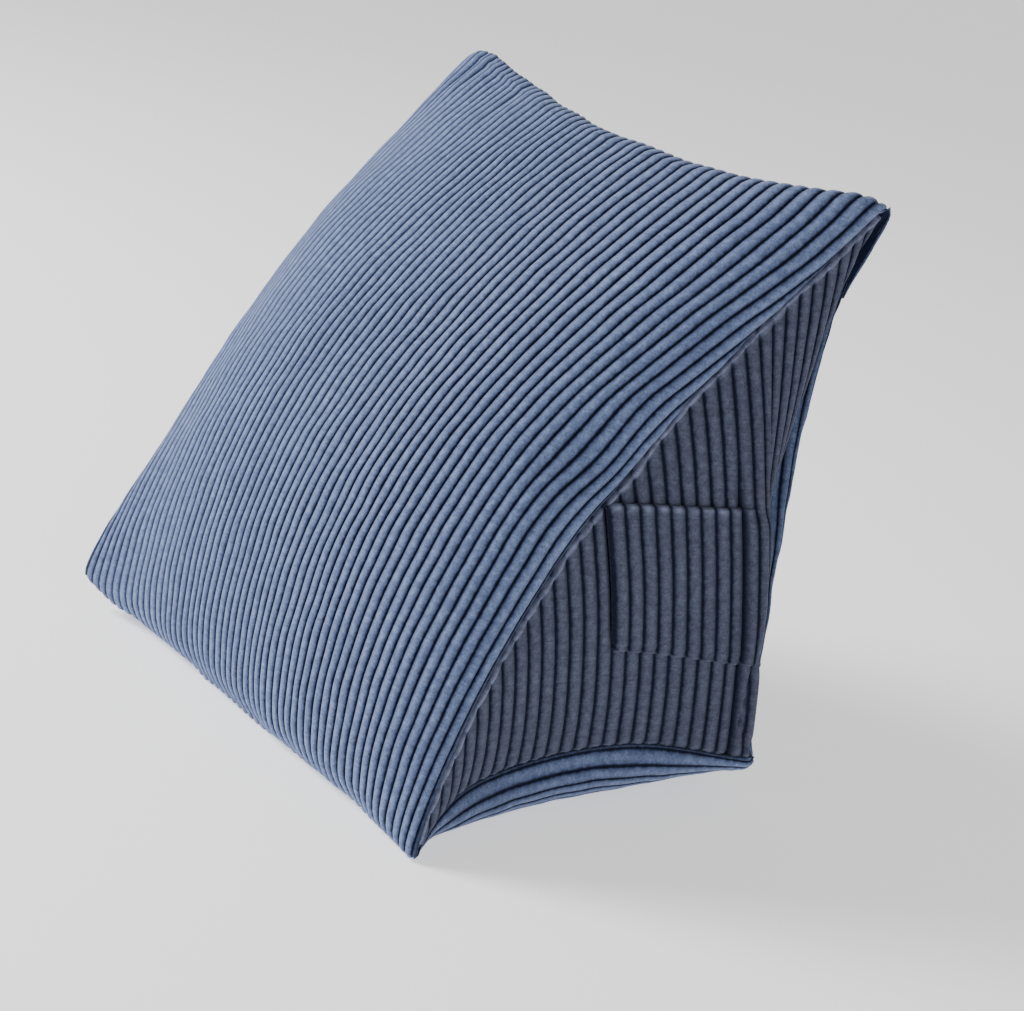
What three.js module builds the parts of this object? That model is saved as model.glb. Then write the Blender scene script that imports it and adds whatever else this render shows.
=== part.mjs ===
import * as THREE from 'three';

// A wedge-shaped back cushion that stands on its narrow base. Sizes are in millimetres.
// X runs across the width, Y from the front to the upright back, Z up from the surface it stands on.

// The cloth as cut: a strip of wide-wale corduroy wraps round the slope, the base and the back.
const WRAP_WIDTH = 360;
const WRAP_WALES = 53;
const WALE_HEIGHT = 1.4;
const CLOTH = 2.0;
const GAP = 0.9;

// The six sewn corners, which stick out as ears when the cushion is stuffed, each as the place that it would
// reach if the cloth ran straight out. The cap is the turn in degrees of the cloth over the ear's blunt end.
const EARS = {
  front: { left: { x: 169, y: -141.5, z: 8, cap: 50 }, right: { x: 168, y: -126, z: -8, cap: 45 } },
  top: { left: { x: 173.5, y: 106, z: 382.5, cap: 55 }, right: { x: 181.5, y: 124.5, z: 381, cap: 75 } },
  back: { left: { x: 188, y: 129, z: 14, cap: 70 }, right: { x: 190, y: 133.5, z: 19, cap: 84 } },
};

// The middle of each folded edge between its two ears, how closely the edge keeps to it on each side, and
// the way from its ears towards the filling.
const EDGES = {
  front: { y: -115.8, z: 0, left: 6.5, right: 5, inwards: { y: 0.88, z: 0.47 } },
  top: { y: 70.2, z: 365, left: 1.4, right: 4.5, inwards: { y: -0.27, z: -0.96 } },
  back: { y: 129.4, z: 0, left: 1.4, right: 1.4, inwards: { y: -0.7, z: 0.7 } },
};

// The three faces of the wrap. The crown stands out from the chord between two edges, and the cloth turns
// over towards the side seam by the turn in degrees, most where the crown peaks. The seam share says how
// fast that turn fades towards the ears, and the sharpness how close to the seam the cloth turns.
const FACES = [
  { from: 'front', to: 'top', crown: 69, turn: 51, peak: 0.43, seamShare: 1.15, sharpness: 2.9, rows: 18 },
  { from: 'top', to: 'back', crown: 9, turn: 80, peak: 0.56, seamShare: 0.5, sharpness: 7.2, rows: 12 },
  { from: 'back', to: 'front', crown: 12, turn: 125, peak: 0.6, seamShare: 0.95, sharpness: 7.2, rows: 8 },
];
const CAP_SHARPNESS = 14;
const MOST_TURN = 2.1;
const TURN_STEPS = 24;

// The roll of the stuffed cloth over an edge, half its length along the cloth, and the roll left at an ear.
const EDGE_ROLL = 16;
const EAR_ROLL = 8;
const ROLL_FADE = 6;
const ROLL_SAMPLES = [-1, -0.5, 0, 0.5, 1];

// The triangular side panels, sewn inside the lip of the wrap.
const SIDE_WALES = 28;
const LIP_INSET = 4.0;
const LIP_DEPTH = 3.2;
const SIDE_CROWN = 15;
const SIDE_SWELL = { share: 1.9, upright: 0.75, towardsBack: 0.6, towardsFront: 0.8 };
const PANEL_FROM = { front: 0.055, top: 0.07, back: 0.045 };
const PANEL_ROWS = 12;
const BACKING_COLUMNS = 14;

// The patch pocket on the right side, its right edge caught in the back seam.
const POCKET = { wales: 14, bottom: 106, top: 191, rows: 6, lift: 1.1, hem: 14, hemExtra: 0.9 };

const CORDUROY = { color: 0x66728f, roughness: 0.95, metalness: 0 };
const EPSILON = 1e-3;

const lerp = (a, b, t) => a + (b - a) * t;
const clamp = (value, low, high) => Math.min(high, Math.max(low, value));

// How far the cloth drops below the crown, how far it drops over an ear's end and how far out it reaches,
// for a strip that bends by a face's turn and an ear's cap up to the place s.
function bend(turn, sharpness, cap, s) {
  const result = { drop: 0, capDrop: 0, reach: 0 };
  for (let step = 0; step < TURN_STEPS; step += 1) {
    const along = ((step + 0.5) / TURN_STEPS) * s;
    const faceAngle = turn * along ** sharpness;
    const capAngle = cap * along ** CAP_SHARPNESS;
    result.drop += (Math.sin(faceAngle) * s) / TURN_STEPS;
    result.capDrop += (Math.sin(capAngle) * s) / TURN_STEPS;
    result.reach += (Math.cos(Math.min(faceAngle + capAngle, MOST_TURN)) * s) / TURN_STEPS;
  }
  return result;
}

// A corner of the loop at place s across the width, from -1 at the left seam to 1 at the right seam.
function edgePoint(name, s) {
  const side = s < 0 ? 'left' : 'right';
  const ear = EARS[name][side];
  const edge = EDGES[name];
  const share = Math.abs(s) ** edge[side];
  const cap = THREE.MathUtils.degToRad(ear.cap);
  const inwards = (bend(0, 1, cap, Math.abs(s)).capDrop * WRAP_WIDTH) / 2;
  return {
    x: ear.x,
    y: lerp(edge.y, ear.y, share) + edge.inwards.y * inwards,
    z: lerp(edge.z, ear.z, share) + edge.inwards.z * inwards,
    cap,
  };
}

// A point of the wrap with sharp edges. The place v runs once round: 0 to 1 up the slope, 1 to 2 down the
// back, 2 to 3 forward along the base.
function sharpWrap(s, v) {
  const turnOfLoop = ((v % 3) + 3) % 3;
  const face = FACES[Math.floor(turnOfLoop)];
  const t = turnOfLoop % 1;
  const a = edgePoint(face.from, s);
  const b = edgePoint(face.to, s);
  const length = Math.hypot(b.y - a.y, b.z - a.z);
  const skewed = t ** (Math.log(0.5) / Math.log(face.peak));
  const bow = 4 * skewed * (1 - skewed);
  const turn = THREE.MathUtils.degToRad(face.turn) * bow ** face.seamShare;
  const { drop, reach } = bend(turn, face.sharpness, lerp(a.cap, b.cap, t), Math.abs(s));
  const out = face.crown * bow - (drop * WRAP_WIDTH) / 2;
  return new THREE.Vector3(
    Math.sign(s) * reach * lerp(a.x, b.x, t),
    lerp(a.y, b.y, t) - ((b.z - a.z) / length) * out,
    lerp(a.z, b.z, t) + ((b.y - a.y) / length) * out,
  );
}

// The cloth's length along each face, for rolling the edges.
const FACE_LENGTHS = FACES.map(({ from, to, crown }) => {
  const chord = Math.hypot(EDGES[to].y - EDGES[from].y, EDGES[to].z - EDGES[from].z);
  return chord + (8 * crown * crown) / (3 * chord);
});

// A place on the loop moved along the cloth by a distance shorter than a face.
function slide(v, distance) {
  const face = Math.floor(((v % 3) + 3) % 3);
  const along = (((v % 3) + 3) % 1) * FACE_LENGTHS[face] + distance;
  if (along < 0) return face + along / FACE_LENGTHS[(face + 2) % 3];
  if (along > FACE_LENGTHS[face]) return face + 1 + (along - FACE_LENGTHS[face]) / FACE_LENGTHS[(face + 1) % 3];
  return face + along / FACE_LENGTHS[face];
}

// A point of the stuffed wrap, rolled over its edges and flat where it rests.
function wrapPoint(s, v) {
  const roll = lerp(EDGE_ROLL, EAR_ROLL, Math.abs(s) ** ROLL_FADE);
  const point = new THREE.Vector3();
  for (const sample of ROLL_SAMPLES) point.add(sharpWrap(s, slide(v, sample * roll)));
  point.divideScalar(ROLL_SAMPLES.length);
  point.z = Math.max(point.z, 0);
  return point;
}

// The wrap with its wales raised, which fade out into the side seams and lie pressed flat on the surface.
function ribbedWrap(s, v) {
  const point = wrapPoint(s, v);
  if (point.z <= 0) return point;
  const reach = Math.min(Math.abs(s) + EPSILON, 1 - EPSILON) * Math.sign(s || 1);
  const across = wrapPoint(reach, v).sub(wrapPoint(reach - 2 * EPSILON * Math.sign(s || 1), v));
  const along = wrapPoint(s, v + EPSILON).sub(wrapPoint(s, v - EPSILON));
  const normal = across.multiplyScalar(Math.sign(s || 1)).cross(along).normalize();
  point.addScaledVector(normal, (WALE_HEIGHT / 2) * Math.cos(Math.PI * s * WRAP_WALES));
  point.z = Math.max(point.z, 0);
  return point;
}

// Points and triangles of one closed solid.
class Shell {
  constructor(flip = false) {
    this.points = [];
    this.triangles = [];
    this.flip = flip;
  }

  add(point) {
    this.points.push(point.x, point.y, point.z);
    return this.points.length / 3 - 1;
  }

  face(a, b, c) {
    if (a === b || b === c || c === a) return;
    if (this.flip) this.triangles.push(a, c, b);
    else this.triangles.push(a, b, c);
  }

  // Faces between the neighbours of a grid of indices, grid[column][row].
  grid(grid, inwards = false) {
    for (let i = 0; i + 1 < grid.length; i += 1) {
      for (let j = 0; j + 1 < grid[i].length; j += 1) {
        const [a, b, c, d] = [grid[i][j], grid[i + 1][j], grid[i + 1][j + 1], grid[i][j + 1]];
        if (inwards) {
          this.face(a, c, b);
          this.face(a, d, c);
        } else {
          this.face(a, b, c);
          this.face(a, c, d);
        }
      }
    }
  }

  // A band from the border of a face to a second loop round it. Each loop entry has an index and a place
  // along the loop, and both loops run from 0 to the same total.
  band(border, loop, total) {
    let i = 0;
    let j = 0;
    const place = (list, k) => (k < list.length ? list[k].at : total);
    const index = (list, k) => list[k % list.length].index;
    while (i < border.length || j < loop.length) {
      const borderFirst = place(border, i + 1) <= place(loop, j + 1);
      if (j === loop.length || (borderFirst && i < border.length)) {
        this.face(index(border, i + 1), index(border, i), index(loop, j));
        i += 1;
      } else {
        this.face(index(border, i), index(loop, j), index(loop, j + 1));
        j += 1;
      }
    }
  }

  mesh(name, material) {
    const geometry = new THREE.BufferGeometry();
    geometry.setAttribute('position', new THREE.Float32BufferAttribute(this.points, 3));
    geometry.setIndex(this.triangles);
    geometry.computeVertexNormals();
    const mesh = new THREE.Mesh(geometry, material);
    mesh.name = name;
    return mesh;
  }
}

// The border of a grid of indices, anticlockwise from its first corner, with a place along each side.
function borderOf(grid) {
  const columns = grid.length - 1;
  const rows = grid[0].length - 1;
  const border = [];
  for (let i = 0; i < columns; i += 1) border.push({ index: grid[i][0], at: i / columns });
  for (let j = 0; j < rows; j += 1) border.push({ index: grid[columns][j], at: 1 + j / rows });
  for (let i = columns; i > 0; i -= 1) border.push({ index: grid[i][rows], at: 3 - i / columns });
  for (let j = rows; j > 0; j -= 1) border.push({ index: grid[0][j], at: 4 - j / rows });
  return border.filter((entry, k) => k === 0 || entry.index !== border[0].index);
}

// A point of the side seam moved in from the wrap's edge, in the plane of the side.
function insetSeam(side, v, inset) {
  const here = wrapPoint(side, v);
  const along = wrapPoint(side, v + EPSILON).sub(wrapPoint(side, v - EPSILON));
  const length = Math.hypot(along.y, along.z);
  here.y += (along.z / length) * inset;
  here.z -= (along.y / length) * inset;
  return here;
}

// A point of a side. The place a runs from the front corner to the back seam, t from the base to the slope,
// so a line of one a is a wale. The result lies depth below the outer face of the cloth.
function sidePoint(side, a, t, inset, depth) {
  const slope = (q) => insetSeam(side, lerp(PANEL_FROM.front, 1 - PANEL_FROM.top, q), inset);
  const back = (q) => insetSeam(side, lerp(2 - PANEL_FROM.back, 1 + PANEL_FROM.top, q), inset);
  const base = (q) => insetSeam(side, lerp(3 - PANEL_FROM.front, 2 + PANEL_FROM.back, q), inset);
  const front = slope(0).lerp(base(0), 0.5);
  const top = slope(1).lerp(back(1), 0.5);
  const low = base(1).lerp(back(0), 0.5);
  const point = base(a).multiplyScalar(1 - t).addScaledVector(slope(a), t);
  point.addScaledVector(front, 1 - a).addScaledVector(back(t), a);
  point.addScaledVector(front, -(1 - a)).addScaledVector(low, -a * (1 - t)).addScaledVector(top, -a * t);
  const upright = (4 * t * (1 - t)) ** SIDE_SWELL.upright;
  const swell = SIDE_SWELL.share * upright * a ** SIDE_SWELL.towardsFront * (1 - a) ** SIDE_SWELL.towardsBack;
  point.x += side * (SIDE_CROWN * swell - depth);
  return point;
}

// A grid of a side's points in a shell, with its first column drawn together in the front corner.
function sideGrid(shell, side, columns, rows, inset, depthAt) {
  const grid = [];
  const corner = shell.add(sidePoint(side, 0, 0.5, inset, depthAt(0)));
  for (let i = 0; i <= columns; i += 1) {
    const column = [];
    for (let j = 0; j <= rows; j += 1) {
      const a = i / columns;
      column.push(i === 0 ? corner : shell.add(sidePoint(side, a, j / rows, inset, depthAt(a))));
    }
    grid.push(column);
  }
  return grid;
}

// The wales of the side panels and the pocket, alternately raised and sunk along a.
function sideWale(a) {
  return (WALE_HEIGHT / 2) * -Math.cos(Math.PI * 2 * SIDE_WALES * a);
}

// The stuffed body: the wrap and, under each side panel, the filling's side.
function cushionBody() {
  const shell = new Shell();
  const places = FACES.flatMap(({ rows }, face) => Array.from({ length: rows }, (_, row) => face + row / rows));
  const grid = [];
  for (let column = 0; column <= 2 * WRAP_WALES; column += 1) {
    const s = column / WRAP_WALES - 1;
    const isSeam = column === 0 || column === 2 * WRAP_WALES;
    grid.push(places.map((v) => shell.add(isSeam ? wrapPoint(s, v) : ribbedWrap(s, v))));
  }
  shell.grid(grid.map((column) => [...column, column[0]]));

  for (const side of [-1, 1]) {
    shell.flip = side < 0;
    const seam = grid[side < 0 ? 0 : 2 * WRAP_WALES];
    const loop = seam.map((index, k) => ({ index, at: (3 - places[k]) % 3 }));
    loop.sort((one, other) => one.at - other.at);
    const depth = LIP_DEPTH + GAP;
    const backing = sideGrid(shell, side, BACKING_COLUMNS, PANEL_ROWS, LIP_INSET, () => depth);
    shell.grid(backing);
    shell.band(borderOf(backing), loop, 3);
  }
  return shell;
}

// A side panel: one layer of cloth with its wales upright, set in the lip of the wrap.
function sidePanel(side) {
  const shell = new Shell(side < 0);
  const inset = LIP_INSET;
  const face = sideGrid(shell, side, 2 * SIDE_WALES, PANEL_ROWS, inset, (a) => LIP_DEPTH - CLOTH - sideWale(a));
  const under = sideGrid(shell, side, BACKING_COLUMNS, PANEL_ROWS, inset, () => LIP_DEPTH);
  shell.grid(face);
  shell.grid(under, true);
  shell.band(borderOf(face), borderOf(under), 4);
  return shell;
}

// The height in a side's own t for a given height above the surface, found along the wale at a.
function sideHeight(side, a, height) {
  const low = sidePoint(side, a, 0, LIP_INSET, 0).z;
  const high = sidePoint(side, a, 1, LIP_INSET, 0).z;
  return clamp((height - low) / (high - low), 0, 1);
}

// The patch pocket: a second layer of cloth over the panel, folded double along its top hem.
function sidePocket(side) {
  const shell = new Shell(side < 0);
  const columns = 2 * POCKET.wales;
  const first = 1 - POCKET.wales / SIDE_WALES;
  const inner = LIP_DEPTH - CLOTH - WALE_HEIGHT / 2 - POCKET.lift;
  const heights = [];
  for (let row = 0; row <= POCKET.rows; row += 1) {
    heights.push(lerp(POCKET.bottom, POCKET.top - POCKET.hem, row / POCKET.rows));
  }
  heights.push(POCKET.top);
  const layer = (depthAt) => {
    const grid = [];
    for (let i = 0; i <= columns; i += 1) {
      const a = lerp(first, 1, i / columns);
      grid.push(heights.map((height) => {
        const t = sideHeight(side, a, height);
        return shell.add(sidePoint(side, a, t, LIP_INSET, depthAt(a, height)));
      }));
    }
    return grid;
  };
  const hemOf = (height) => (height > POCKET.top - POCKET.hem + 1 ? POCKET.hemExtra : 0);
  const face = layer((a, height) => inner - CLOTH - sideWale(a) - hemOf(height));
  const under = layer(() => inner);
  shell.grid(face);
  shell.grid(under, true);
  shell.band(borderOf(face), borderOf(under), 4);
  return shell;
}

const cloth = () => new THREE.MeshStandardMaterial(CORDUROY);
const cushion = new THREE.Group();
cushion.add(cushionBody().mesh('cushion_body', cloth()));
cushion.add(sidePanel(1).mesh('side_panel_right', cloth()));
cushion.add(sidePanel(-1).mesh('side_panel_left', cloth()));
cushion.add(sidePocket(1).mesh('side_pocket', cloth()));
export default cushion;
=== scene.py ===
import math

import bmesh
import bpy
import numpy as np
from mathutils import Euler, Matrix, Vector


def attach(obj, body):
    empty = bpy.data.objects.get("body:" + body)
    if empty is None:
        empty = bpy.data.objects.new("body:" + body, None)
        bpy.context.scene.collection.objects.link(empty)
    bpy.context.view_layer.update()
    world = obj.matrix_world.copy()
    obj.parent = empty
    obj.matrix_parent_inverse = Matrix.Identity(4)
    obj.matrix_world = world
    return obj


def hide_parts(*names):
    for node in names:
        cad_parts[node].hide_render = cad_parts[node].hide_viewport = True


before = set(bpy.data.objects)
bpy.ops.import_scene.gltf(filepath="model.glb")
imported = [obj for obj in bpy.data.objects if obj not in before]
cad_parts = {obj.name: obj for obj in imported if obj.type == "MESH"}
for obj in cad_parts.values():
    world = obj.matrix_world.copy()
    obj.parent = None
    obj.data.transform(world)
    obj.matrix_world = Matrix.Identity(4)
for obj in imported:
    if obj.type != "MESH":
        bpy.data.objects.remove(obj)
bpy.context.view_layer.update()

# Sizes in millimetres, as the cloth was cut and as the stuffed cushion stands: X across the width, Y from
# the front to the upright back, Z up. MM turns them into metres.
#
# A place on the wrap is s, from -1 at the left seam to 1 at the right one, and v, which goes once round the
# loop: 0 to 1 up the slope, 1 to 2 down the back, 2 to 3 forward along the base.
MM = 0.001
WRAP_WIDTH = 360.0
WRAP_WALES, SPARE_WALES = 53, 3
WRAP_ROWS = (84, 74, 50)
WALE_HEIGHT = 2.1
WALE_ROUNDNESS = 0.55
CLOTH = 1.8

# The six ears: x, y, z and how far the cloth turns over at the ear, in degrees.
EARS = {
    "front": {"left": (169.0, -141.5, 8.0, 50.0), "right": (168.0, -126.0, -8.0, 45.0)},
    "top": {"left": (173.5, 107.0, 384.0, 55.0), "right": (178.5, 124.5, 384.0, 75.0)},
    "back": {"left": (188.0, 129.0, 14.0, 70.0), "right": (190.0, 133.5, 19.0, 84.0)},
}

# The middle of each edge, how fast it rises to its ears, and the way in from it.
EDGES = {
    "front": {"y": -115.8, "z": 0.0, "left": 6.5, "right": 5.0, "inwards": (0.88, 0.47)},
    "top": {"y": 70.2, "z": 365.0, "left": 1.4, "right": 4.5, "inwards": (-0.27, -0.96)},
    "back": {"y": 129.4, "z": 0.0, "left": 1.4, "right": 1.4, "inwards": (-0.7, 0.7)},
}
LOOP = ["front", "top", "back", "front"]

# The slope, the back and the base: crown, most turn at the seams, where the crown peaks, how early the turn
# starts from an ear, and how close to the seam it stays.
CROWN = np.array([69.0, 9.0, 12.0])
TURN = np.radians([51.0, 80.0, 125.0])
PEAK = np.array([0.43, 0.56, 0.6])
SEAM_SHARE = np.array([1.15, 0.5, 0.95])
SHARPNESS = np.array([2.9, 7.2, 7.2])
CAP_SHARPNESS = 14.0
MOST_TURN = 2.1
TURN_STEPS = 24
EDGE_ROLL, EAR_ROLL, TOP_EAR_ROLL, ROLL_FADE = 16.0, 8.0, 16.0, 6.0
TOP_ROLL_REACH = (0.1, 0.4)

# Near the top of the right seam the outer wales run off into the seam, by this share of the half width.
RUN_OFF = {"share": 0.13, "round": ((0.48, 0.95), (1.1, 1.9)), "across": (0.45, 1.0)}

# Within a twelfth of the half width from a seam, the sway and the softness of the wrap fade out.
SEAM_FADE = 12

# Where the back and the base start and end round the loop, and where the lit slope gets painted light in its
# grooves: from a place across towards the left, and between two places round the loop.
BACK_REACH = ((0.99, 1.03), (2.0, 2.05))
BASE_REACH = ((2.02, 2.1), (2.9, 2.98))
LIT_SLOPE = {"from": 0.35, "over": 1.1, "round": ((-0.2, 0.15), (0.98, 1.12))}
# How flat the wales are brushed on the base, and how strong the painted shade is on the base and on the back
# towards the right seam.
BASE_BRUSHED, BASE_SHADE, BACK_SHADE = 0.45, 0.12, 0.4

# The cloth past a seam: its width, how much more it has beside the back, and how short it is at the ears.
ALLOWANCE = {"wide": 6.0, "back": 10.0, "round": ((1.15, 1.5), (1.9, 1.97)), "at_ear": 1.6, "per_mm": 0.2}

SIDE_WALES = 35
WALE_LEAN = 0.23
SIDE_CROWN, CROWN_FADE = 10.0, 0.7
TALLEST = 245.0
PANEL_FROM = {"front": 0.03, "top": 0.03, "back": 0.03}
PANEL_INSET = 1.6
BACK_INSET = {"most": 8.0, "ear_share": 0.2, "ear": (1.03, 1.15), "low": (1.4, 1.66), "ends": (1.9, 1.98),
              "across": 0.25}
LIP_ROUND, LIP_PIECES = 1.8, 16
LIP_TURN = math.radians(168)
PANEL_ROUND = 2.8
CLOSING_DEPTH = 0.07

# Points along the borders of a side, rows up its cloth and up the pocket's, and how far from a rolled edge
# its own rows lie.
BASE_POINTS, BACK_POINTS, SLOPE_POINTS = 90, 130, 200
SIDE_ROWS, POCKET_ROWS = 80, 46
ROLL_STEPS = np.array([0.0, 0.35, 0.9, 1.6, 2.6, 4.0])
LEAST_SPAN, FULL_ROLL_SPAN = 0.5, 14.0

# The lip of wrap cloth that stands over the slope seam of a side, with a painted highlight along its crest.
SEAM_LIP = {"height": 1.9, "from_seam": 2.3, "strays": 0.6, "half_width": 0.85, "highlight_half_width": 0.8}

# The pocket starts at a wale of the side and ends in the back seam; a wale near there is folded in.
POCKET_WALE, FOLD_WALE = 15, 24
POCKET_LEFT, POCKET_RIGHT, POCKET_TOP = 107.0, 92.0, 193.0
POCKET_WALE_WIDTH = 8.5
WALE_FOLD = {"depth": 2.6, "half_width": 0.33, "top": (185, 225), "foot": (8, 40)}
BESIDE_POCKET = {"depth": 2.0, "from_edge": 0.08, "half_width": 0.2, "starts": (-4, 22), "ends": (196, 202)}
POCKET_LIFT = {"stands": 2.5, "mouth": 0.9, "mouth_reach": 7.0, "least": 0.15, "from_back": (-2, 12)}
POCKET_ROUND = {"left": 2.0, "bottom": 2.4, "top": 1.8}
STITCH_PULL = {"depth": 0.9, "from_edge": 3.2, "half_width": 1.3, "from_back": (12, 4)}

# Where the wale numbers and lengths of the side and of the pocket start, so that no piece repeats another.
SIDE_UV, POCKET_UV = (100, 2000), (200, 3000)

# Slow, uneven swings over the cloth: how fast each one changes with its first and second place, and its seed.
SWINGS = {
    "sway": {"first": 0.25, "second": 14, "seed": 41},
    "fine_sway": {"first": 0.6, "second": 45, "seed": 42},
    "soft": {"first": 0.35, "second": 22, "seed": 3},
    "slow_soft": {"first": 0.12, "second": 9, "seed": 5},
    "brushed_and_lit": {"first": 0.2, "second": 12, "seed": 51},
    "wale_height": {"first": 1, "second": 60, "seed": 8},
    "side_soft": {"first": 0.4, "second": 1 / 18, "seed": 31},
    "lip_strays": {"first": 1 / 4, "second": 1 / 7, "seed": 33},
    "lip_height": {"first": 1 / 3, "second": 1 / 11, "seed": 34},
}

# Where the crests and grooves of a wale get their points, as shares of its width.
WALE_POINTS = (0.0, 0.07, 0.2, 0.4, 0.6, 0.8, 0.93)

# Colours of the cloth, painted with the light and shade of each wale. On the wrap: grooves painted dark as
# shade, grooves painted lighter under painted light, flanks in half shade and crests painted pale as lit. On
# the sides, a darker, greyer copy as painted shade: grooves, flanks, crests, and the crests with a painted
# highlight.
NIGHT_BLUE = (0.0035, 0.0065, 0.024)
DUSK_BLUE = (0.040, 0.060, 0.125)
SLATE_BLUE = (0.095, 0.130, 0.255)
LIT_CREST_BLUE = (0.192, 0.250, 0.425)
SHADE_NIGHT = (0.006, 0.009, 0.026)
SHADE_BLUE = (0.052, 0.060, 0.098)
PALE_SIDE = (0.096, 0.108, 0.165)
PALE_BLUE = (0.26, 0.29, 0.44)

CAMERA = {"lens": 72.66, "sensor": 36.0, "place": (0.8714, -0.7716, 0.5317), "turn": (70.790, -11.810, 50.556)}

# Lamps: place, what they aim at, size in metres, watts.
LAMPS = {
    "key_light": {"place": (-1.5, -1.4, 1.6), "aim": (0, 0, 0.18), "size": 1.1, "power": 90},
    "fill_light": {"place": (1.6, -0.9, 0.9), "aim": (0, 0, 0.18), "size": 1.4, "power": 5},
}
SKY, SKY_STRENGTH = (1.0, 0.99, 0.98, 1), 0.3
FLOOR_SIZE, FLOOR_GLOW = 12.0, 0.75


def place_camera():
    data = bpy.data.cameras.new("studio_camera")
    data.lens = CAMERA["lens"]
    data.sensor_width = CAMERA["sensor"]
    camera = bpy.data.objects.new("studio_camera", data)
    camera.location = CAMERA["place"]
    camera.rotation_euler = Euler([math.radians(a) for a in CAMERA["turn"]], "XYZ")
    bpy.context.scene.collection.objects.link(camera)
    bpy.context.scene.camera = camera


def wander(x, y, seed, waves=6):
    """A slow, uneven swing between about -1 and 1 over a surface, the same on every run."""
    rng = np.random.default_rng(seed)
    total = np.zeros(np.broadcast(x, y).shape)
    for _ in range(waves):
        fx, fy = rng.normal(size=2)
        total = total + np.sin(fx * x + fy * y + rng.uniform(0, 2 * math.pi))
    return total / math.sqrt(waves)


def swing(name, first, second):
    """One of the slow swings of the cloth at two places on it."""
    row = SWINGS[name]
    return wander(first * row["first"], second * row["second"], row["seed"])


def mix(a, b, t):
    return a + (b - a) * t


def ease(value, low, high):
    """A smooth step from 0 at low to 1 at high, which may lie below low."""
    t = np.clip((value - low) / (high - low), 0, 1)
    return t * t * (3 - 2 * t)


def between(value, start, end):
    """1 between two places, with a smooth start and end."""
    return ease(value, *start) * (1 - ease(value, *end))


def bell(value, half_width):
    """1 at 0, fading smoothly to both sides."""
    return np.exp(-((value / half_width) ** 2))


def loop_corners(s):
    """The corners of the loop at each place s, front, top, back and front again: x, y, z and cap turn."""
    away = np.abs(s)
    right = s >= 0
    steps = (np.arange(TURN_STEPS) + 0.5) / TURN_STEPS
    corners = []
    for name in LOOP:
        ear = [np.where(right, r, l) for r, l in zip(EARS[name]["right"], EARS[name]["left"])]
        edge = EDGES[name]
        share = away ** np.where(right, edge["right"], edge["left"])
        cap = np.radians(ear[3])
        bent = np.sin(cap[..., None] * (away[..., None] * steps) ** CAP_SHARPNESS).mean(-1)
        inwards = bent * away * WRAP_WIDTH / 2
        y = mix(edge["y"], ear[1], share) + edge["inwards"][0] * inwards
        z = mix(edge["z"], ear[2], share) + edge["inwards"][1] * inwards
        corners.append(np.stack([ear[0] + 0 * s, y, z, cap + 0 * s], -1))
    return np.stack(corners)


# Dents in the stuffed wrap: place across, place round, half width across and along in mm, and depth in mm.
WRAP_DENTS = [
    {"s": 0.91, "v": 0.53, "across": 17, "along": 22, "depth": 6.5},
    {"s": 0.88, "v": 0.43, "across": 20, "along": 26, "depth": -3.5},
    {"s": 0.97, "v": 1.45, "across": 24, "along": 60, "depth": 4.0},
    {"s": 0.97, "v": 1.66, "across": 22, "along": 6, "depth": 2.2},
    {"s": 0.97, "v": 1.83, "across": 22, "along": 7, "depth": 2.0},
    {"s": 1.0, "v": 1.06, "across": 22, "along": 22, "depth": -5.0},
    {"s": 0.93, "v": 0.88, "across": 20, "along": 16, "depth": 3.0},
    {"s": -0.88, "v": 0.97, "across": 4, "along": 34, "depth": 2.6},
    {"s": -0.80, "v": 0.98, "across": 5, "along": 30, "depth": 3.0},
    {"s": -0.66, "v": 1.0, "across": 26, "along": 34, "depth": 4.5},
    {"s": -0.50, "v": 0.97, "across": 4, "along": 26, "depth": 1.6},
    {"s": 0.35, "v": 0.99, "across": 16, "along": 8, "depth": 2.0},
    {"s": 0.05, "v": 1.0, "across": 18, "along": 7, "depth": 1.8},
]


def dented(s, v):
    """The depth of the dents at each point of the wrap."""
    depth = np.zeros(s.shape)
    for dent in WRAP_DENTS:
        across = (s - dent["s"]) * WRAP_WIDTH / 2 / dent["across"]
        gap = np.mod(v - dent["v"] + 1.5, 3.0) - 1.5
        along = gap * LENGTHS[int(dent["v"]) % 3] / dent["along"]
        depth += dent["depth"] * np.exp(-(across**2) - along**2)
    return depth


def sharp_wrap(s, v):
    """A point of the stuffed wrap with its edges still sharp."""
    v = np.mod(v, 3.0)
    face = np.minimum(v.astype(int), 2)
    t = v - face
    corners = loop_corners(s)
    a = np.take_along_axis(corners, face[None, ..., None], 0)[0]
    b = np.take_along_axis(corners, face[None, ..., None] + 1, 0)[0]
    skewed = np.clip(t, 0, 1) ** (np.log(0.5) / np.log(PEAK[face]))
    bow = 4 * skewed * (1 - skewed)
    steps = (np.arange(TURN_STEPS) + 0.5) / TURN_STEPS
    along = np.abs(s)[..., None] * steps
    turn = (TURN[face] * bow ** SEAM_SHARE[face])[..., None] * along ** SHARPNESS[face][..., None]
    cap = mix(a[..., 3], b[..., 3], t)[..., None] * along**CAP_SHARPNESS
    drop = np.sin(turn).mean(-1) * np.abs(s)
    reach = np.cos(np.minimum(turn + cap, MOST_TURN)).mean(-1) * s
    out = CROWN[face] * bow - drop * WRAP_WIDTH / 2 - dented(s, face + t)
    rise = b[..., 1:3] - a[..., 1:3]
    length = np.hypot(rise[..., 0], rise[..., 1])
    return np.stack([
        reach * mix(a[..., 0], b[..., 0], t),
        mix(a[..., 1], b[..., 1], t) - rise[..., 1] / length * out,
        mix(a[..., 2], b[..., 2], t) + rise[..., 0] / length * out,
    ], -1)


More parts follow.
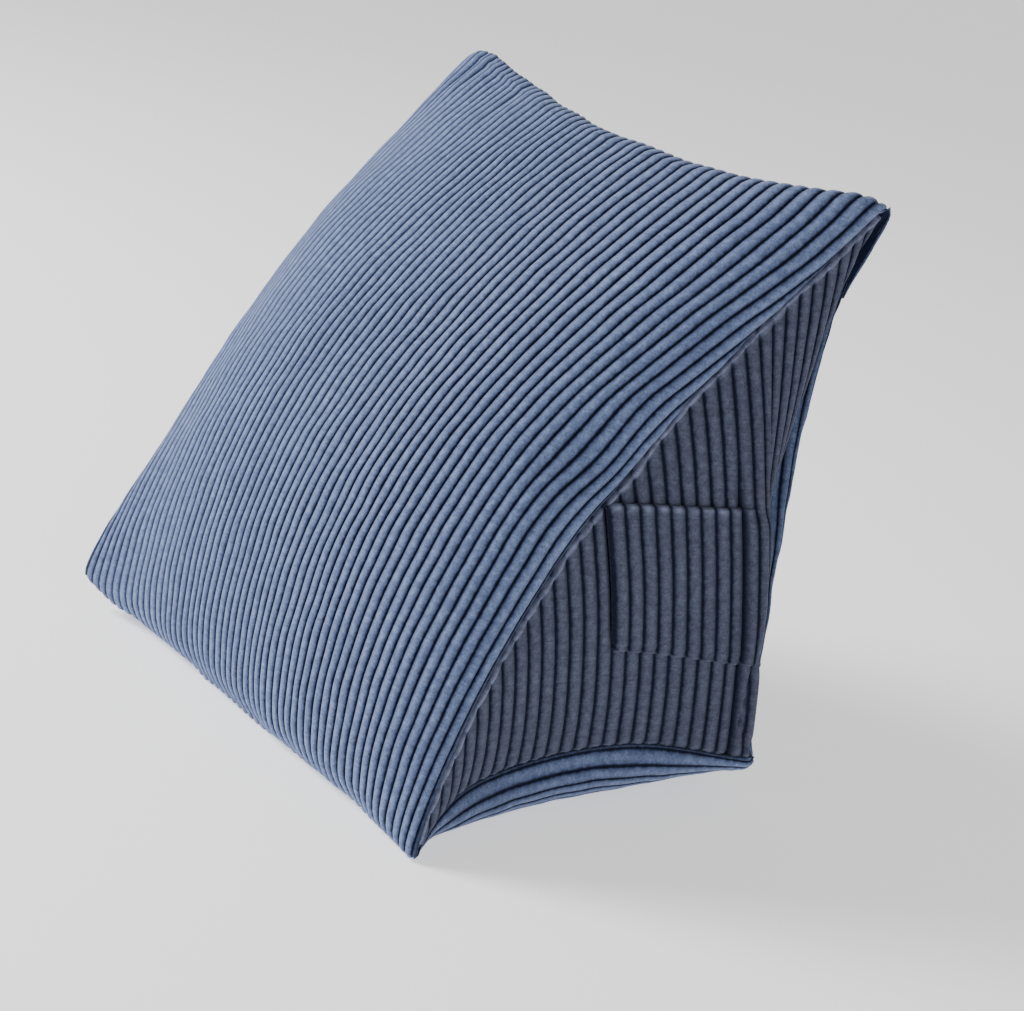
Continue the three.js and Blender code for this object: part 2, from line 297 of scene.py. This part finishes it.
def face_lengths():
    """How long the cloth is up the slope, down the back and along the base, over their crowns."""
    lengths = []
    for start, end, crown in zip(LOOP, LOOP[1:], CROWN):
        chord = math.hypot(EDGES[end]["y"] - EDGES[start]["y"], EDGES[end]["z"] - EDGES[start]["z"])
        lengths.append(chord + 8 * crown * crown / (3 * chord))
    return np.array(lengths)


LENGTHS = face_lengths()


def slide(v, distance):
    """The place a distance in mm further round the loop."""
    v = np.mod(v, 3.0)
    face = np.minimum(v.astype(int), 2)
    along = (v - face) * LENGTHS[face] + distance
    past = face + 1 + (along - LENGTHS[face]) / LENGTHS[(face + 1) % 3]
    here = np.where(along > LENGTHS[face], past, face + along / LENGTHS[face])
    return np.where(along < 0, face + along / LENGTHS[(face + 2) % 3], here)


def stuffed_wrap(s, v):
    """A point of the stuffed wrap before its wales, rolled over its edges and flat where it rests."""
    s, v = np.broadcast_arrays(np.asarray(s, float), np.asarray(v, float))
    top = 1 - ease(np.abs(v - 1), *TOP_ROLL_REACH)
    roll = mix(EDGE_ROLL, mix(EAR_ROLL, TOP_EAR_ROLL, top), np.abs(s) ** ROLL_FADE)
    samples = [sharp_wrap(s, slide(v, share * roll)) for share in (-1, -0.5, 0, 0.5, 1)]
    point = np.mean(samples, 0)
    point[..., 2] = np.maximum(point[..., 2], 0)
    return point


def seam_frame(side, v):
    """The seam of a side with the way inwards in the plane of the side."""
    here = stuffed_wrap(side, v)
    along = stuffed_wrap(side, v + 1e-3) - stuffed_wrap(side, v - 1e-3)
    length = np.hypot(along[..., 1], along[..., 2])
    inwards = np.stack([0 * length, along[..., 2] / length, -along[..., 1] / length], -1)
    return here, inwards


def inset_seam(side, v):
    """Where a side is sewn in: deeper beside the back, where the wrap comes round the corner."""
    here, inwards = seam_frame(side, v)
    at_ear = BACK_INSET["ear_share"]
    grown = at_ear * ease(v, *BACK_INSET["ear"]) + (1 - at_ear) * ease(v, *BACK_INSET["low"])
    more = BACK_INSET["most"] * grown * (1 - ease(v, *BACK_INSET["ends"]))
    here = here + inwards * (PANEL_INSET + more)[..., None]
    here[..., 0] -= side * BACK_INSET["across"] * more
    return here


def sewn_edge(side, v, beyond):
    """The cloth past its seam, rolled over the lip and down under the side."""
    here, inwards = seam_frame(side, v)
    before = stuffed_wrap(side * (1 - 1e-3), v)
    step = here - before
    lean = np.arctan2((step * inwards).sum(-1), step[..., 0] * side)
    x, y = np.zeros(beyond.shape), np.zeros(beyond.shape)
    for piece in range(LIP_PIECES):
        angle = np.minimum(lean + beyond * (piece + 0.5) / LIP_PIECES / LIP_ROUND, LIP_TURN)
        x += np.cos(angle) * beyond / LIP_PIECES
        y += np.sin(angle) * beyond / LIP_PIECES
    point = here + inwards * y[..., None]
    point[..., 0] += side * x
    return point


def seam_allowance(v, beyond):
    """The cloth past a seam, trimmed short towards the ears."""
    from_ear = np.abs(v - np.rint(v)) * LENGTHS[np.minimum(v.astype(int), 2)]
    wide = ALLOWANCE["wide"] + ALLOWANCE["back"] * between(v, *ALLOWANCE["round"])
    most = np.minimum(wide, ALLOWANCE["at_ear"] + ALLOWANCE["per_mm"] * from_ear)
    return most * (1 - np.exp(-beyond / most))


def normals_of(points, u, v):
    """Unit normals of a grid of points."""
    across = np.gradient(points, u, axis=0)
    along = np.gradient(points, v, axis=1)
    normal = np.cross(across, along)
    return normal / np.maximum(np.linalg.norm(normal, axis=-1, keepdims=True), 1e-12)


def wale_relief(wale):
    """Height of a wale above its groove, from 0 to 1, at a place counted in wales."""
    return np.abs(np.sin(math.pi * wale)) ** WALE_ROUNDNESS


def wale_places(first, last):
    """Places across the cloth where its points go, counted in wales."""
    places = [k + share for k in range(first, last) for share in WALE_POINTS]
    return np.array(places + [float(last)])


def cut_cloth(name, points, cloth_place, painted_shade, painted_light, close_loop=False):
    """A cut of cloth as a grid of points, a column for each place across it.

    Its wale number and length are kept as UV, and its painted shade and painted light as attributes.
    """
    columns, rows = points.shape[:2]
    bm = bmesh.new()
    bmesh.ops.create_grid(bm, x_segments=columns - 1, y_segments=rows - 1, size=0.5)
    mesh = bpy.data.meshes.new(name)
    bm.to_mesh(mesh)
    flat = np.empty(len(mesh.vertices) * 3)
    mesh.vertices.foreach_get("co", flat)
    flat = flat.reshape(-1, 3)
    column = np.rint((flat[:, 0] + 0.5) * (columns - 1)).astype(int)
    row = np.rint((flat[:, 1] + 0.5) * (rows - 1)).astype(int)
    mesh.vertices.foreach_set("co", (points[column, row] * MM).ravel())
    loops = np.empty(len(mesh.loops), int)
    mesh.loops.foreach_get("vertex_index", loops)
    cloth = mesh.uv_layers.new(name="cloth")
    place = np.stack([share[column, row] for share in cloth_place], -1)[loops]
    cloth.data.foreach_set("uv", place.ravel())
    for label, share in (("painted_shade", painted_shade), ("painted_light", painted_light)):
        shade = mesh.attributes.new(label, "FLOAT", "POINT")
        shade.data.foreach_set("value", share[column, row].astype(float))
    bm.free()
    bm = bmesh.new()
    bm.from_mesh(mesh)
    if close_loop:
        bm.verts.ensure_lookup_table()
        ends = [bm.verts[i] for i in np.flatnonzero((row == 0) | (row == rows - 1))]
        bmesh.ops.remove_doubles(bm, verts=ends, dist=1e-6)
    return mesh, bm


def finish_piece(name, mesh, bm, material, solid):
    """The sewn piece as an object that stands for its solid."""
    bmesh.ops.recalc_face_normals(bm, faces=bm.faces)
    bm.to_mesh(mesh)
    bm.free()
    mesh.shade_smooth()
    piece = bpy.data.objects.new(name, mesh)
    bpy.context.scene.collection.objects.link(piece)
    piece.data.materials.append(material)
    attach(piece, "root")
    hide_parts(solid)
    return piece


def wrap_grid():
    """The wale number and the place round the loop of each point of the wrap."""
    places = wale_places(-SPARE_WALES, WRAP_WALES + SPARE_WALES)
    rows = [face + np.linspace(0, 1, count, endpoint=False) for face, count in enumerate(WRAP_ROWS)]
    around = np.append(np.concatenate(rows), 3.0)
    return places, around, *np.meshgrid(places, around, indexing="ij")


def place_across(wale, around):
    """The place s of each wale, with its sway, and run off into the right seam near the top."""
    run_off = between(around, *RUN_OFF["round"])
    sway = 0.0022 * swing("sway", wale, around) + 0.0012 * swing("fine_sway", wale, around)
    s = wale * 2 / WRAP_WALES - 1
    moved = RUN_OFF["share"] * run_off * ease(wale / WRAP_WALES, *RUN_OFF["across"])
    s = s + moved + sway * np.clip((1 - np.abs(s)) * SEAM_FADE, 0, 1)
    s[:, -1] = s[:, 0]
    return s


def lit_and_worn_places(s, wale, around):
    """Where the lit slope is painted light, where the base is, and where the wales are brushed flat on both.
    """
    painted_light = np.clip((LIT_SLOPE["from"] - s) / LIT_SLOPE["over"], 0, 1) * between(around, *LIT_SLOPE["round"])
    base = between(around, *BASE_REACH)
    patchy = np.clip(0.45 + 0.35 * swing("brushed_and_lit", wale, around), 0, 0.8)
    return painted_light, base, np.maximum(painted_light * patchy, BASE_BRUSHED * base)


def wrap_painted_shade(s, around, beyond, base):
    """Painted shade on the cloth past the seams, but not at the top ears, and beside the back seam and on the
    base.
    """
    back = between(around, *BACK_REACH)
    ear = bell((around - 1) * 330, 34)
    painted_shade = np.clip(beyond / 2.5, 0, 1) * (1 - back) * (1 - 0.95 * ear)
    return np.maximum(painted_shade, np.maximum(BACK_SHADE * back * ease(s, 0.55, 0.9), BASE_SHADE * base))


def close_inside(bm, side):
    """Close the open end of the wrap with a fan of cloth that meets well inside the filling."""
    rim = [e for e in bm.edges if e.is_boundary and e.verts[0].co.x * side > 0]
    grown = bmesh.ops.extrude_edge_only(bm, edges=rim)["geom"]
    inner_rim = [p for p in grown if isinstance(p, bmesh.types.BMVert)]
    middle = sum((p.co for p in inner_rim), Vector()) / len(inner_rim)
    bmesh.ops.pointmerge(bm, verts=inner_rim, merge_co=middle - Vector((side * CLOSING_DEPTH, 0, 0)))


def sew_wrap(material):
    """The strip of corduroy round the slope, the back and the base, one wale after the other."""
    places, rows, wale, around = wrap_grid()
    s = place_across(wale, around)
    points = stuffed_wrap(np.clip(s, -1, 1), around)
    beyond = np.maximum(np.abs(s) - 1, 0) * WRAP_WIDTH / 2
    for side in (-1, 1):
        out = side * s > 1
        points[out] = sewn_edge(side, around[out], seam_allowance(around, beyond)[out])
    normal = normals_of(points, places, rows)
    soft = swing("soft", wale, around) * 0.5 + swing("slow_soft", wale, around) * 0.8
    inside = np.clip((1 - np.abs(s)) * SEAM_FADE, 0, 1)
    # Painted light on the lit slope. With the base, it also sets where the wales are brushed flatter.
    painted_light, base, brushed_and_lit = lit_and_worn_places(s, wale, around)
    uneven = 1 + 0.10 * swing("wale_height", wale, around)
    relief = wale_relief(wale) * WALE_HEIGHT * uneven * (1 - brushed_and_lit)
    points = points + normal * (soft * inside + relief - WALE_HEIGHT / 2)[..., None]
    points[..., 2] = np.maximum(points[..., 2], 0)
    points[:, -1] = points[:, 0]
    length = np.interp(around, [0, 1, 2, 3], np.concatenate([[0], np.cumsum(LENGTHS)]))
    # Painted shade past the seams, beside the back and on the base.
    painted_shade = wrap_painted_shade(s, around, beyond, base)
    mesh, bm = cut_cloth("cushion_wrap", points, (wale, length), painted_shade, painted_light, close_loop=True)
    for side in (-1, 1):
        close_inside(bm, side)
    piece = finish_piece("cushion_wrap", mesh, bm, material, "cushion_body")


def side_borders(side):
    """The borders of a side from its front corner to its top one: below, base then back seam, and above.

    Each point is x, y, z and its place across the leaning wales, evened out below so that the wales spread
    along the drawn-in seams.
    """
    base = np.linspace(3 - PANEL_FROM["front"], 2 + PANEL_FROM["back"], BASE_POINTS)
    back = np.linspace(2 - PANEL_FROM["back"], 1 + PANEL_FROM["top"], BACK_POINTS)
    slope = np.linspace(PANEL_FROM["front"], 1 - PANEL_FROM["top"], SLOPE_POINTS)
    low = inset_seam(side, np.concatenate([base, back]))
    high = inset_seam(side, slope)
    for end in (0, -1):
        low[end] = high[end] = (low[end] + high[end]) / 2
    start, corner, top = [low[k, 1] + WALE_LEAN * low[k, 2] for k in (0, BASE_POINTS, -1)]
    steps = np.append(0, np.cumsum(np.linalg.norm(np.diff(low, axis=0), axis=-1)))
    low_place = np.interp(steps, [0, steps[BASE_POINTS], steps[-1]], [start, corner, top])
    high_place = np.maximum.accumulate(high[:, 1] + WALE_LEAN * high[:, 2])
    return np.column_stack([low, low_place]), np.column_stack([high, high_place])


def on_border(border, place):
    """The points of a border at places across the leaning wales."""
    return np.stack([np.interp(place, border[:, 3], border[:, axis]) for axis in range(3)], -1)


def side_wale_places(border, wale):
    """Where each wale of a side lies along its borders, just inside its two ends."""
    return mix(border[0, 3] + 0.4, border[-1, 3] - 0.4, wale / SIDE_WALES)


def rows_between(foot, head, tall, count):
    """Places t up each wale from foot to head, close together at both ends where the cloth rolls over."""
    span = np.maximum((head - foot) * tall, LEAST_SPAN)
    edge = ROLL_STEPS[None] * (np.minimum(1.0, span / FULL_ROLL_SPAN) / span)[:, None]
    middle = np.linspace(0, 1, count)[None] * (1 - 2 * edge[:, -1:]) + edge[:, -1:]
    share = np.concatenate([edge[:, :-1], middle, 1 - edge[:, -2::-1]], 1)
    return mix(foot[:, None], head[:, None], share)


def filled_side(side, low, high, t):
    """Points of a side pushed out by the filling, t from its lower border to its upper one along a wale."""
    point = mix(low[:, None], high[:, None], t[..., None])
    tall = np.linalg.norm(high - low, axis=-1)[:, None]
    point[..., 0] += side * SIDE_CROWN * 4 * t * (1 - t) * (tall / TALLEST) ** CROWN_FADE
    return point


def distance_from(points, border):
    """How far points of a side lie from a border, seen from the side."""
    away = points[..., None, 1:3] - border[:, 1:3]
    return np.sqrt((away**2).sum(-1)).min(-1)


def outward(points, side):
    """Normals of a side that always point away from the filling."""
    steps = [np.arange(count, dtype=float) for count in points.shape[:2]]
    normal = normals_of(points, *steps) * side
    normal[..., 0] = np.maximum(np.abs(normal[..., 0]), 0.3) * side
    return normal


def rolled_edge(distance, round_by):
    """Depth of a rolled edge at a distance in from its seam."""
    share = np.clip(distance / round_by, 0, 1)
    return round_by * (1 - np.sqrt(np.maximum(1 - (1 - share) ** 2, 0)))


def side_fold(wale, z):
    """Depth of the wale folded in beside the back seam."""
    near = bell(wale - FOLD_WALE, WALE_FOLD["half_width"])
    return WALE_FOLD["depth"] * near * (1 - ease(z, *WALE_FOLD["top"])) * ease(z, *WALE_FOLD["foot"])


def beside_pocket(wale, z):
    """Depth of the groove in the side along the front edge of the pocket."""
    near = bell(wale - POCKET_WALE + BESIDE_POCKET["from_edge"], BESIDE_POCKET["half_width"])
    starts, ends = [POCKET_LEFT + step for step in BESIDE_POCKET["starts"]], BESIDE_POCKET["ends"]
    return BESIDE_POCKET["depth"] * near * between(z, starts, ends)


def sew_side(side, material):
    """A triangle of corduroy sewn into the side, its wales leaning forward."""
    low_border, high_border = side_borders(side)
    places = wale_places(0, SIDE_WALES)
    place = side_wale_places(high_border, places)
    low, high = on_border(low_border, place), on_border(high_border, place)
    tall = np.linalg.norm(high - low, axis=-1)
    t = rows_between(np.zeros(len(places)), np.ones(len(places)), tall, SIDE_ROWS)
    points = filled_side(side, low, high, t)
    wale = np.repeat(places[:, None], t.shape[1], 1)
    from_low, from_high = distance_from(points, low_border), distance_from(points, high_border)
    z = points[..., 2].copy()
    normal = outward(points, side)
    near = np.minimum(from_low, from_high)
    relief = wale_relief(wale) * WALE_HEIGHT * (0.35 + 0.65 * ease(near, 0.8, 5)) - WALE_HEIGHT / 2
    soft = swing("side_soft", wale, z) * 0.4 * ease(near, 4, 20)
    from_lip = from_high - SEAM_LIP["from_seam"] - SEAM_LIP["strays"] * swing("lip_strays", z, z)
    lip = SEAM_LIP["height"] * bell(from_lip, SEAM_LIP["half_width"]) * (0.8 + 0.2 * swing("lip_height", z, z))
    # Painted shade along the seams of the side. On the right side, also in the groove beside the pocket and in
    # the folded wale.
    painted_shade = 0.9 * np.clip(1 - near, 0, 1)
    if side > 0:
        beside, fold = beside_pocket(wale, z), side_fold(wale, z)
        relief = relief - beside - fold
        painted_shade = np.maximum(painted_shade, np.clip(beside / 1.2, 0, 1) + np.clip(fold / WALE_FOLD["depth"], 0, 0.8))
    points[..., 0] -= side * (rolled_edge(from_low, PANEL_ROUND) + rolled_edge(from_high, PANEL_ROUND * 0.8))
    points = points + normal * (relief + soft + lip)[..., None]
    # Painted highlight along the crest of the seam lip.
    painted_light = bell(from_lip, SEAM_LIP["highlight_half_width"])
    cloth_place = (wale + SIDE_UV[0], z + SIDE_UV[1])
    mesh, bm = cut_cloth("side_cloth", points, cloth_place, np.minimum(painted_shade, 1), painted_light)
    thicken(bm, side)
    hand = "right" if side > 0 else "left"
    piece = finish_piece(f"side_cloth_{hand}", mesh, bm, material, f"side_panel_{hand}")


def thicken(bm, side):
    """Give a cut of cloth its thickness, towards the filling."""
    made = bmesh.ops.extrude_face_region(bm, geom=bm.faces[:], use_keep_orig=True)["geom"]
    under = [part for part in made if isinstance(part, bmesh.types.BMVert)]
    bmesh.ops.translate(bm, vec=(-side * CLOTH * MM, 0, 0), verts=under)


def pocket_lift(wale, from_left, from_bottom, from_top, from_back):
    """How far the pocket stands off the side: rolled over at its edges, gone at the back seam."""
    behind_fold = ease(wale, FOLD_WALE - 0.5, FOLD_WALE + 1.5)
    mouth = POCKET_LIFT["mouth"] * np.exp(-from_top / POCKET_LIFT["mouth_reach"])
    lift = POCKET_LIFT["stands"] + mouth * (1 - behind_fold)
    lift = lift - rolled_edge(from_left, POCKET_ROUND["left"]) * 0.8
    lift = lift - rolled_edge(from_bottom, POCKET_ROUND["bottom"])
    lift = lift - rolled_edge(from_top, POCKET_ROUND["top"]) * (1 - 0.2 * behind_fold)
    lift = lift * ease(from_back, *POCKET_LIFT["from_back"])
    return lift * (1 - behind_fold * (1 - ease(from_top, -1, 12))) + POCKET_LIFT["least"], behind_fold


def stitch_pull(from_bottom, from_back):
    """Depth of the stitches along the bottom of the pocket."""
    near = bell(from_bottom - STITCH_PULL["from_edge"], STITCH_PULL["half_width"])
    return near * STITCH_PULL["depth"] * (1 - ease(from_back, *STITCH_PULL["from_back"]))


def sew_pocket(material):
    """The patch pocket, a second layer of corduroy over the right side, its top turned over in a hem."""
    low_border, high_border = side_borders(1)
    back = low_border[BASE_POINTS:]
    last = np.interp(POCKET_TOP - 8, back[:, 2], back[:, 3])
    last_wale = (last - high_border[0, 3]) / (high_border[-1, 3] - high_border[0, 3]) * SIDE_WALES
    places = wale_places(POCKET_WALE, SIDE_WALES)
    places = np.append(places[places < last_wale - 0.1], last_wale)
    place = side_wale_places(high_border, places)
    low, high = on_border(low_border, place), on_border(high_border, place)
    rise = high[:, 2] - low[:, 2]
    across = (places - POCKET_WALE) / (last_wale - POCKET_WALE)
    bottom = np.maximum(mix(POCKET_LEFT, POCKET_RIGHT, across), low[:, 2] + 4.0)
    foot = (bottom - low[:, 2]) / rise
    head = np.minimum((POCKET_TOP - low[:, 2]) / rise, 1 - 3 / rise)
    tall = np.linalg.norm(high - low, axis=-1)
    t = rows_between(foot, head, tall, POCKET_ROWS)
    points = filled_side(1, low, high, t)
    z = points[..., 2].copy()
    wale = np.repeat(places[:, None], t.shape[1], 1)
    from_left = (wale - POCKET_WALE) * POCKET_WALE_WIDTH
    from_back = distance_from(points, back)
    from_top, from_bottom = (head[:, None] - t) * tall[:, None], (t - foot[:, None]) * tall[:, None]
    lift, behind_fold = pocket_lift(wale, from_left, from_bottom, from_top, from_back)
    stitched, fold = stitch_pull(from_bottom, from_back), side_fold(wale, z)
    relief = wale_relief(wale) * WALE_HEIGHT - WALE_HEIGHT / 2 - fold - stitched
    soft = swing("side_soft", wale, z) * 0.4
    points = points + outward(points, 1) * (relief * ease(from_back, -2, 8) + soft)[..., None]
    points[..., 0] += lift - rolled_edge(from_back, PANEL_ROUND)
    # Painted shade in the folded wale and in the grooves along the stitches, and a painted highlight on the
    # wale crests along the hem.
    painted_shade = np.clip(fold / WALE_FOLD["depth"], 0, 0.85) + 0.55 * stitched * (1 - wale_relief(wale))
    painted_light = bell(from_top, 2.8) * (1 - behind_fold) * wale_relief(wale) ** 3
    cloth_place = (wale + POCKET_UV[0], z + POCKET_UV[1])
    mesh, bm = cut_cloth("pocket_cloth", points, cloth_place, painted_shade, painted_light)
    thicken(bm, 1)
    piece = finish_piece("pocket_cloth", mesh, bm, material, "side_pocket")


def node(tree, kind, inputs=(), **settings):
    """A node of a material with its settings, its inputs linked or given their values."""
    made = tree.nodes.new(kind)
    for name, value in settings.items():
        setattr(made, name, value)
    for name, value in dict(inputs).items():
        if isinstance(value, bpy.types.NodeSocket):
            tree.links.new(value, made.inputs[name])
        else:
            made.inputs[name].default_value = value
    return made


def maths(tree, operation, a, b=0.0, clamp=False):
    return node(tree, "ShaderNodeMath", {0: a, 1: b}, operation=operation, use_clamp=clamp).outputs[0]


def times(tree, a, b):
    """One value of a material times another."""
    return maths(tree, "MULTIPLY", a, b)


def noise(tree, place, scale, detail, roughness=0.5):
    inputs = {"Vector": place, "Scale": scale, "Detail": detail, "Roughness": roughness}
    return node(tree, "ShaderNodeTexNoise", inputs).outputs["Fac"]


def painted(tree, label):
    """A value kept on the points of the cloth."""
    return node(tree, "ShaderNodeAttribute", attribute_name=label).outputs["Fac"]


def blend_colour(tree, kind, factor, a, b):
    made = tree.nodes.new("ShaderNodeMix")
    made.data_type = "RGBA"
    made.blend_type = kind
    for index, value in ((0, factor), (6, a), (7, b)):
        if isinstance(value, bpy.types.NodeSocket):
            tree.links.new(value, made.inputs[index])
        else:
            made.inputs[index].default_value = value if index == 0 else (*value, 1.0)
    return made.outputs[2]


def soft_range(tree, value, low, high, to_low=0.0, to_high=1.0):
    inputs = {"Value": value, "From Min": low, "From Max": high, "To Min": to_low, "To Max": to_high}
    made = node(tree, "ShaderNodeMapRange", inputs)
    made.interpolation_type = "SMOOTHSTEP"
    return made.outputs[0]


def cross_bands(tree, wale, length, body):
    """Soft bands across each wale about 6.5 mm apart, each wale with its own, and here and there a joint."""
    number = maths(tree, "FLOOR", wale)
    own = node(tree, "ShaderNodeTexWhiteNoise", {"W": number}, noise_dimensions="1D").outputs["Value"]
    along = maths(tree, "ADD", maths(tree, "DIVIDE", length, 6.5), times(tree, own, 400.0))
    inputs = {"W": along, "Scale": 1.0, "Detail": 2.0, "Roughness": 0.55}
    bands = node(tree, "ShaderNodeTexNoise", inputs, noise_dimensions="1D").outputs["Fac"]
    inputs = {"W": along, "Scale": 1.1, "Randomness": 0.8}
    settings = {"voronoi_dimensions": "1D", "feature": "DISTANCE_TO_EDGE"}
    cross = node(tree, "ShaderNodeTexVoronoi", inputs, **settings).outputs["Distance"]
    patch = soft_range(tree, noise(tree, body, 90.0, 3.0), 0.42, 0.6)
    joint = times(tree, soft_range(tree, cross, 0.0, 0.14, 1.0, 0.0), patch)
    open_joint = maths(tree, "SUBTRACT", 1.0, times(tree, joint, 0.75))
    return times(tree, soft_range(tree, bands, 0.32, 0.66), open_joint)


def corduroy(name, night, slate, lit_crest, sheen, lit):
    """Wide-wale corduroy: grooves painted dark as shade, crests painted pale as lit and patchy with wear, soft
    cross bands on the wales and a mottled nap.

    lit is how much painted highlight the crests get where the points carry painted light.
    """
    material = bpy.data.materials.new(name)
    material.use_nodes = True
    tree = material.node_tree
    tree.nodes.clear()
    cloth = node(tree, "ShaderNodeUVMap", uv_map="cloth").outputs[0]
    split = node(tree, "ShaderNodeSeparateXYZ", {0: cloth})
    wale, length = split.outputs[0], split.outputs[1]
    across = maths(tree, "ABSOLUTE", maths(tree, "SINE", times(tree, wale, math.pi)))
    body = node(tree, "ShaderNodeTexCoord").outputs["Object"]

    band = cross_bands(tree, wale, length, body)
    nap = noise(tree, body, 800.0, 4.0, 0.7)
    heather = noise(tree, body, 300.0, 3.0)
    wear = noise(tree, body, 22.0, 4.0)
    # The painted shade and painted light kept on the points.
    painted_shade, painted_light = painted(tree, "painted_shade"), painted(tree, "painted_light")

    ragged = maths(tree, "ADD", across, times(tree, maths(tree, "SUBTRACT", heather, 0.5), 0.4))
    flank = soft_range(tree, ragged, 0.17, 0.62)
    crest = soft_range(tree, ragged, 0.5, 1.05)
    # Painted shade and light across each wale. Grooves are dark, and lighter where the points carry painted
    # light. Flanks are in half shade. Crests are painted pale as lit, patchy with wear and the cross bands.
    groove = blend_colour(tree, "MIX", painted_light, night, DUSK_BLUE)
    colour = blend_colour(tree, "MIX", flank, groove, slate)
    brushed_and_lit = times(tree, crest, soft_range(tree, wear, 0.2, 0.8, 0.55, 1.0))
    brushed_and_lit = times(tree, brushed_and_lit, soft_range(tree, band, 0, 1, 0.55, 1.0))
    colour = blend_colour(tree, "MIX", brushed_and_lit, colour, lit_crest)
    napped = soft_range(tree, nap, 0.25, 0.75, 0.7, 1.28)
    tone = times(tree, napped, soft_range(tree, heather, 0.3, 0.7, 0.88, 1.1))
    tint = node(tree, "ShaderNodeCombineXYZ", {0: tone, 1: tone, 2: tone}).outputs[0]
    colour = blend_colour(tree, "MULTIPLY", 1.0, colour, tint)
    # Painted highlight on the crests where the points carry painted light, mottled by the heather.
    paled = times(tree, soft_range(tree, heather, 0.3, 0.6, 0.5, 1.0), lit)
    colour = blend_colour(tree, "MIX", times(tree, painted_light, paled), colour, PALE_BLUE)
    # Painted shade from the points darkens the cloth towards the groove colour.
    darkened = maths(tree, "MULTIPLY", painted_shade, 0.9, clamp=True)
    colour = blend_colour(tree, "MIX", darkened, colour, NIGHT_BLUE)

    relief = maths(tree, "ADD", times(tree, band, 0.6), times(tree, nap, 0.5))
    bump = node(tree, "ShaderNodeBump", {"Height": relief, "Strength": 0.55, "Distance": 0.0007}).outputs[0]
    velvet = node(tree, "ShaderNodeBsdfPrincipled", {
        "Base Color": colour, "Roughness": 0.92, "Normal": bump, "Specular IOR Level": 0.12,
        "Sheen Weight": sheen, "Sheen Roughness": 0.45, "Sheen Tint": (0.66, 0.75, 1.0, 1.0),
    })
    node(tree, "ShaderNodeOutputMaterial", {"Surface": velvet.outputs[0]})
    return material


def studio_floor():
    bm = bmesh.new()
    bmesh.ops.create_grid(bm, x_segments=2, y_segments=2, size=FLOOR_SIZE)
    mesh = bpy.data.meshes.new("studio_floor")
    bm.to_mesh(mesh)
    bm.free()
    floor = bpy.data.objects.new("studio_floor", mesh)
    bpy.context.scene.collection.objects.link(floor)
    material = bpy.data.materials.new("pale_floor")
    material.use_nodes = True
    surface = material.node_tree.nodes["Principled BSDF"]
    surface.inputs["Base Color"].default_value = (0.92, 0.92, 0.92, 1)
    surface.inputs["Emission Color"].default_value = (1, 1, 1, 1)
    surface.inputs["Emission Strength"].default_value = FLOOR_GLOW
    surface.inputs["Roughness"].default_value = 0.95
    surface.inputs["Specular IOR Level"].default_value = 0.05
    mesh.materials.append(material)


def studio_light(name, place, aim, size, power):
    data = bpy.data.lights.new(name, "AREA")
    data.shape = "DISK"
    data.size = size
    data.energy = power
    lamp = bpy.data.objects.new(name, data)
    lamp.location = place
    lamp.rotation_euler = (Vector(aim) - Vector(place)).to_track_quat("-Z", "Y").to_euler()
    bpy.context.scene.collection.objects.link(lamp)


def light_studio():
    world = bpy.data.worlds.new("studio")
    world.use_nodes = True
    sky = world.node_tree.nodes["Background"]
    sky.inputs["Color"].default_value = SKY
    sky.inputs["Strength"].default_value = SKY_STRENGTH
    bpy.context.scene.world = world
    for name, lamp in LAMPS.items():
        studio_light(name, **lamp)


place_camera()
wrap_cloth = corduroy("wrap_corduroy", NIGHT_BLUE, SLATE_BLUE, LIT_CREST_BLUE, 0.4, 0.0)
# The sides and the pocket get a darker, greyer copy of the cloth as painted shade, with painted highlights.
side_cloth = corduroy("side_corduroy", SHADE_NIGHT, SHADE_BLUE, PALE_SIDE, 0.15, 0.8)
pocket_cloth = corduroy("pocket_corduroy", SHADE_NIGHT, SHADE_BLUE, PALE_SIDE, 0.15, 0.8)
sew_wrap(wrap_cloth)
for side in (1, -1):
    sew_side(side, side_cloth)
sew_pocket(pocket_cloth)
studio_floor()
light_studio()
